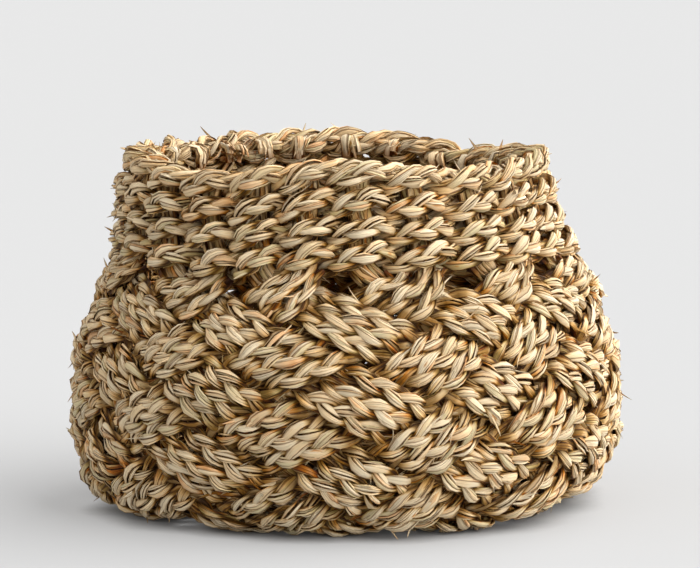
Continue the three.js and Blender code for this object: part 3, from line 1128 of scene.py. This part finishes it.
def twine_course(weave, look, row, second, random):
    """The course of one twining braid, once round the collar. Before a stake it climbs to the
    right, and behind one it comes down again."""
    shape = weave.shape
    stake_turn = TAU / weave.stake_count
    start = (TWINE_START + row * 2 + 0.5) * stake_turn
    turned = start + np.linspace(0, TAU + TWINE_OVERLAP * stake_turn, TWINE_SAMPLES)
    local = turned / stake_turn * np.pi
    angle = turned + (second + row) * stake_turn
    wave = np.sin(local)
    reach = shape.rim_radius * turned
    bob = drifting(reach, look.wander, random)
    stray = drifting(reach, look.wander, random)
    lift = plateau(wave, TWINE_PLATEAU) * weave.twine_lift + bob
    middle = weave.foot_run + (row + 0.5) * weave.row_run
    run = middle - np.cos(local) * weave.twine_rise * TWINE_CLIMB + stray
    raised = (row / (shape.collar_rows - 1)) ** 2
    run = run + TOP_ROW_RISE * raised * np.maximum(wave, 0)
    half = shape.twine_height / 2 * (TWINE_SLIM + TWINE_SWELL * wave * wave)
    half = half * (1 + TWINE_BACK * np.maximum(-wave, 0))
    half = half * (1 + drifting(reach, look.uneven_width, random))
    thick = shape.twine_thickness / 2 * TWINE_PRESS
    sizes = (half, thick, 0, (1 - np.abs(wave)) * TWINE_SHADE)
    parts = [weave.collar_route(angle, 0, run, lift, sizes)]
    if row == shape.collar_rows - 1 and second:
        parts.append(brush_course(weave, angle[-1], run[-1], half[-1], thick))
    return joined(parts, look.sample_step)


def brush_course(weave, angle, run, half, thick):
    """The cut end of the last twining braid, which stands into the basket and spreads"""
    part = np.linspace(BRUSH_FROM, 1, BRUSH_SAMPLES)
    side = part * BRUSH_LENGTH
    lift = -weave.twine_lift - part * BRUSH_LENGTH
    spread = 1 + (BRUSH_SPREAD - 1) * part
    sizes = (half * spread, thick * spread, 0, 0)
    return weave.collar_route(angle, side, run + part * BRUSH_RISE, lift, sizes, outward=(MM, 0))


def route_object(name, course):
    """A row of edges that holds a course, for a Geometry Nodes tree to follow"""
    points = course.points
    size = len(points)
    mesh = bpy.data.meshes.new(name)
    edges = np.stack([np.arange(size - 1), np.arange(1, size)], axis=-1)
    mesh.from_pydata(points, edges, [])
    along = np.gradient(points, axis=0)
    along /= np.linalg.norm(along, axis=1)[:, None]
    side = np.cross(along, course.outward)
    side /= np.linalg.norm(side, axis=1)[:, None]
    run = run_along(points)
    fields = {
        "deep": smooth_step((DEEP_FROM - points[:, 2]) / DEEP_REACH),
        "twist": np.cumsum(np.gradient(run) * (1 - OPENED_UNTWIST * course.opened)),
        "dive": course.dive,
        "side": side,
        "out": np.cross(side, along),
        "run": run,
        "half_width": course.half_width,
        "half_thick": course.half_thick,
        "opened": course.opened,
        "to_end": np.minimum(run, run[-1] - run),
    }
    for field, values in fields.items():
        is_vector = values.ndim == 2
        kind = "FLOAT_VECTOR" if is_vector else "FLOAT"
        attribute = mesh.attributes.new(field, kind, "POINT")
        values = np.ascontiguousarray(values, dtype=np.float32).ravel()
        attribute.data.foreach_set("vector" if is_vector else "value", values)
    made = bpy.data.objects.new(name, mesh)
    bpy.context.scene.collection.objects.link(made)
    return made


def grown(piece, tree, inputs):
    """Replaces a piece's mesh by what a Geometry Nodes tree makes of it"""
    modifier = piece.modifiers.new(tree.group.name, "NODES")
    modifier.node_group = tree.group
    for name, value in inputs.items():
        modifier[tree.identifiers[name]] = value
    bpy.context.view_layer.update()
    shown = piece.evaluated_get(bpy.context.evaluated_depsgraph_get())
    mesh = bpy.data.meshes.new_from_object(shown)
    piece.modifiers.remove(modifier)
    old = piece.data
    piece.data = mesh
    bpy.data.meshes.remove(old)
    mesh.name = piece.name


def lay_braid(course, node, tree, look, seed, material):
    """Makes one braid and lets it stand for its solid"""
    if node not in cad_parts:
        raise RuntimeError(f"there is no solid named {node}")
    piece = route_object(node + "_strands", course)
    inputs = {"strands": STRANDS, "blades": look.blades, "seed": seed, "material": material}
    inputs.update((name, getattr(look, name)) for name in BLADE_INPUTS)
    grown(piece, tree, inputs)
    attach(piece, BODY)
    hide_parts(node)


def blade_colour(tree, parts, fibre, streak, colours, warmth):
    """A blade's own colour, with blotches and a browned end, and dark lines at its borders and creases
    that are partly its own brown and partly painted shade
    """
    run = parts["run"]
    shift = parts["tone"] * TONE_SHIFT
    patch = tree.noise(run * PATCH_WAVES, shift, PATCH_LANE, detail=1.0)
    hue = parts["hue"] * HUE_OWN + HUE_START + patch * HUE_PATCH + streak * HUE_STREAK + warmth
    ramp = tree.add("ShaderNodeValToRGB", (hue,))
    stops = (
        (0.0, colours.olive),
        (0.16, colours.olive),
        (0.36, colours.straw),
        (0.6, colours.pale),
        (0.76, colours.straw),
        (0.9, colours.tan),
        (1.0, colours.rust),
    )
    for place, value in stops[2:]:
        ramp.color_ramp.elements.new(place)
    for element, (place, value) in zip(ramp.color_ramp.elements, stops):
        element.position = place
        element.color = (*value, 1)
    plain = Field(tree, ramp.outputs["Color"])

    across_waves, along_waves = BLOTCH_WAVES
    lane = parts["across"] * across_waves + BLOTCH_SHIFT
    blotch = tree.noise(run * along_waves, shift, lane, detail=1.0)
    blotched = tree.blend(tree.smooth(blotch, *BLOTCH_RANGE) * BLOTCH_PAINT, plain, colours.rust)
    # Border and crease lines: partly the blade's own brown, partly painted shade between blades and
    # between fibres
    border = tree.smooth(tree.calc("ABSOLUTE", parts["edge"]) + streak * EDGE_STRAY, *EDGE_RANGE)
    crease = tree.smooth(-1 * fibre, *CREASE_RANGE) * CREASE_BROWN_AND_SHADE
    brown_and_shade_lines = tree.calc("MAXIMUM", border * EDGE_BROWN_AND_SHADE, crease)
    lined = tree.blend(brown_and_shade_lines, blotched, colours.edge)
    return tree.blend(tree.smooth(-1 * parts["to_end"], *TIP_RANGE) * TIP_PAINT, lined, colours.tip)


def light_share(tree, parts):
    """How much light reaches a place on a blade: 1 on top of the braid, 0 deep between blades"""
    height, crown = parts["height"], parts["crown"]
    lifted = tree.smooth(tree.calc("ABSOLUTE", height), *LIFT_RANGE)
    lit = lifted * LIFT_SHARE + tree.smooth(crown, *CROWN_RANGE) * CROWN_SHARE
    inside = tree.smooth(-1 * height, *INSIDE_RANGE) * parts["deep"]
    lit = lit * (1 - DIVE_SHADE * tree.smooth(parts["dive"], *DIVE_RANGE)) * (1 - INSIDE_SHADE * inside)
    place = tree.field("ShaderNodeTexCoord", output="Object")
    on_rim = tree.smooth(tree.part_of(place, "Z"), *OPEN_RANGE)
    keel = tree.smooth(crown, *KEEL_RANGE)
    return tree.calc("MAXIMUM", lit, on_rim * (OPEN_LIGHT + KEEL_LIGHT * keel))


def seagrass_material(name, colours, warmth):
    """Dried blades with long fibres, each blade in a colour of its own, with painted shade where they
    dive and between them
    """
    tree = MaterialTree(name)
    kept = ("tone", "hue", "run", "across", "edge", "height", "crown", "dive", "deep", "to_end")
    parts = {part: tree.attribute(part) for part in kept}
    tone = parts["tone"]
    shift = tone * TONE_SHIFT

    def grain(waves, own, detail):
        """Noise over a blade, with so many waves per metre across it and along it"""
        across_waves, along_waves = waves
        return tree.noise(parts["across"] * across_waves, parts["run"] * along_waves, own, detail)

    fibre = grain(FIBRE_WAVES, shift, detail=3.0)
    streak = grain(STREAK_WAVES, shift + STREAK_SHIFT, detail=1.0)
    coloured = blade_colour(tree, parts, fibre, streak, colours, warmth)
    lit = light_share(tree, parts)
    # The share of light is painted in as shade: a deeper gamma, a blend to the shade colour and a
    # redder, more saturated tint
    deepened = tree.field("ShaderNodeGamma", (coloured, 1 + SHADE_GAMMA * (1 - lit)))
    shaded = tree.blend(tree.smooth(1 - lit, *SHADE_RANGE) * SHADE_PAINT, deepened, colours.shade)
    tint = {
        "Color": shaded,
        "Hue": HUE_SHADED + HUE_LIT_GAIN * lit,
        "Saturation": COLOUR_SHADED - COLOUR_LIT_LOSS * lit,
        "Value": VALUE_LEAST + VALUE_BY_TONE * tone + VALUE_BY_FIBRE * fibre,
    }
    relief = {"Strength": 1.0, "Distance": FIBRE_RELIEF, "Height": fibre}
    surface = {
        "Base Color": tree.field("ShaderNodeHueSaturation", tint),
        "Normal": tree.field("ShaderNodeBump", relief),
        "Roughness": BLADE_ROUGHNESS + STREAK_ROUGHNESS * streak,
        "Specular IOR Level": BLADE_SPECULAR,
    }
    return tree.finish(surface)


class BASKET_OT_weave_bands(bpy.types.Operator):
    """Plait the twelve bands, three braids each, and open their middle braids out to stakes"""

    bl_idname = "basket.weave_bands"
    bl_label = "Weave the bands"

    def execute(self, context):
        scene = context.scene
        weave = Weave(scene.basket_shape)
        look = scene.braid_look
        tree = braid_tree()
        material = seagrass_material("Band seagrass", scene.straw_colours, BAND_WARMTH)
        names = itertools.product(SIDES, BAND_NAMES, BRAID_NAMES)
        for seed, (side, band_name, braid_name) in enumerate(names):
            quarter = SIDES.index(side)
            band = BAND_NAMES.index(band_name)
            braid = BRAID_NAMES.index(braid_name) - BRAID_NAMES.index("middle")
            random = np.random.default_rng(seed)
            course = braid_course(weave, look, quarter, band, braid, random)
            node = f"{side}_{band_name}_band_{braid_name}_braid"
            lay_braid(course, node, tree, look, seed, material)
        return {"FINISHED"}


class BASKET_OT_twine_collar(bpy.types.Operator):
    """Twine the rows of the collar, two braids to a row"""

    bl_idname = "basket.twine_collar"
    bl_label = "Twine the collar"

    def execute(self, context):
        scene = context.scene
        weave = Weave(scene.basket_shape)
        look = scene.braid_look
        tree = braid_tree()
        material = seagrass_material("Collar seagrass", scene.straw_colours, COLLAR_WARMTH)
        for row in range(scene.basket_shape.collar_rows):
            for second, letter in enumerate("ab"):
                seed = TWINE_SEED + 2 * row + second
                random = np.random.default_rng(seed)
                course = twine_course(weave, look, row, second, random)
                node = f"collar_row_{row + 1}_braid_{letter}"
                lay_braid(course, node, tree, look, seed, material)
        return {"FINISHED"}


class BASKET_OT_set_stage(bpy.types.Operator):
    """Lay the floor and set the lights and the camera"""

    bl_idname = "basket.set_stage"
    bl_label = "Set the stage"

    def execute(self, context):
        stage = context.scene.stage_look
        lay_floor(stage)
        light_sky(context.scene, stage)
        hang_sun("Key", stage.sun_strength, stage.sun_spread, stage.sun_height, stage.sun_side)
        hang_sun("Top", stage.top_strength, stage.wide_spread, STRAIGHT_UP, 0)
        low = stage.side_height
        hang_sun("Right", stage.right_strength, stage.right_spread, low, stage.right_turn)
        hang_sun("Left", stage.left_strength, stage.wide_spread, low, -stage.left_turn)
        place_camera(context.scene, stage)
        context.scene.view_settings.view_transform = "Standard"
        return {"FINISHED"}


def lay_floor(stage):
    """A plain pale floor that reaches out of every view"""
    mesh = bpy.data.meshes.new("floor")
    signs = ((-1, -1), (1, -1), (1, 1), (-1, 1))
    corners = [(x * FLOOR_REACH, y * FLOOR_REACH, 0) for x, y in signs]
    mesh.from_pydata(corners, [], [(0, 1, 2, 3)])
    floor = bpy.data.objects.new("floor", mesh)
    bpy.context.scene.collection.objects.link(floor)
    tree = MaterialTree("Pale floor")
    # Part of the floor's brightness is painted light, a glow of its own that lightens the shadows on it;
    # ambient occlusion dims the glow near the basket's foot, which leaves a dark contact shadow there
    crevice = {"Distance": stage.crevice_reach}
    openness = tree.field("ShaderNodeAmbientOcclusion", crevice, output="AO")
    grey = stage.floor_grey * stage.shadow_depth
    surface = {
        "Base Color": (grey, grey, grey, 1),
        "Emission Color": WHITE,
        "Emission Strength": openness * (stage.backdrop * (1 - stage.shadow_depth)),
        "Roughness": 1,
        "Specular IOR Level": 0,
    }
    mesh.materials.append(tree.finish(surface))


def light_sky(scene, stage):
    """Even light from all round. The camera itself sees it in the grey of the lit floor."""
    world = bpy.data.worlds.new("Studio")
    scene.world = world
    world.use_nodes = True
    tree = Tree(world.node_tree)
    background = world.node_tree.nodes["Background"]
    seen = tree.field("ShaderNodeLightPath", output="Is Camera Ray")
    level = stage.backdrop * seen + stage.sky_strength * (1 - seen)
    tree.put(background.inputs["Strength"], level)
    tree.put(background.inputs["Color"], WHITE)


def hang_sun(name, strength, spread, height, side):
    """A soft light from afar. Its angles are in degrees: how wide it is, how high above the floor
    and how far to the right of the camera."""
    lamp = bpy.data.lights.new(name, "SUN")
    lamp.energy = strength
    lamp.angle = math.radians(spread)
    sun = bpy.data.objects.new(name, lamp)
    bpy.context.scene.collection.objects.link(sun)
    sun.rotation_euler = (math.radians(STRAIGHT_UP - height), 0, math.radians(side))


def place_camera(scene, stage):
    """The camera of the photograph's view, tilted down a little and without roll"""
    lens = bpy.data.cameras.new("Camera")
    lens.lens = stage.lens
    lens.sensor_width = SENSOR_WIDTH
    lens.clip_end = SIGHT_END
    camera = bpy.data.objects.new("Camera", lens)
    scene.collection.objects.link(camera)
    camera.location = (stage.aim_side, -stage.camera_distance, stage.camera_height)
    drop = math.atan2(stage.camera_height - stage.aim_height, stage.camera_distance)
    camera.rotation_euler = (math.pi / 2 - drop, 0, 0)
    scene.camera = camera


class BASKET_PT_panel(bpy.types.Panel):
    """Lists the steps that make the basket, and its sizes"""

    bl_label = "Seagrass basket"
    bl_idname = "BASKET_PT_panel"
    bl_space_type = "VIEW_3D"
    bl_region_type = "UI"
    bl_category = "Basket"

    def draw(self, context):
        for operator in OPERATORS:
            self.layout.operator(operator.bl_idname)
        for name in PROPERTY_GROUPS:
            box = self.layout.box()
            group = getattr(context.scene, name)
            for prop in type(group).__annotations__:
                box.prop(group, prop)


OPERATORS = (BASKET_OT_weave_bands, BASKET_OT_twine_collar, BASKET_OT_set_stage)
PROPERTY_GROUPS = {
    "basket_shape": BasketShape,
    "braid_look": BraidLook,
    "straw_colours": StrawColours,
    "stage_look": StageLook,
}


def register():
    for name, group in PROPERTY_GROUPS.items():
        bpy.utils.register_class(group)
        setattr(bpy.types.Scene, name, bpy.props.PointerProperty(type=group))
    for kind in (*OPERATORS, BASKET_PT_panel):
        bpy.utils.register_class(kind)


def unregister():
    for kind in (BASKET_PT_panel, *reversed(OPERATORS)):
        bpy.utils.unregister_class(kind)
    for name, group in reversed(PROPERTY_GROUPS.items()):
        delattr(bpy.types.Scene, name)
        bpy.utils.unregister_class(group)


def main():
    register()
    bpy.ops.basket.set_stage()
    bpy.ops.basket.weave_bands()
    bpy.ops.basket.twine_collar()


if __name__ == "__main__":
    main()
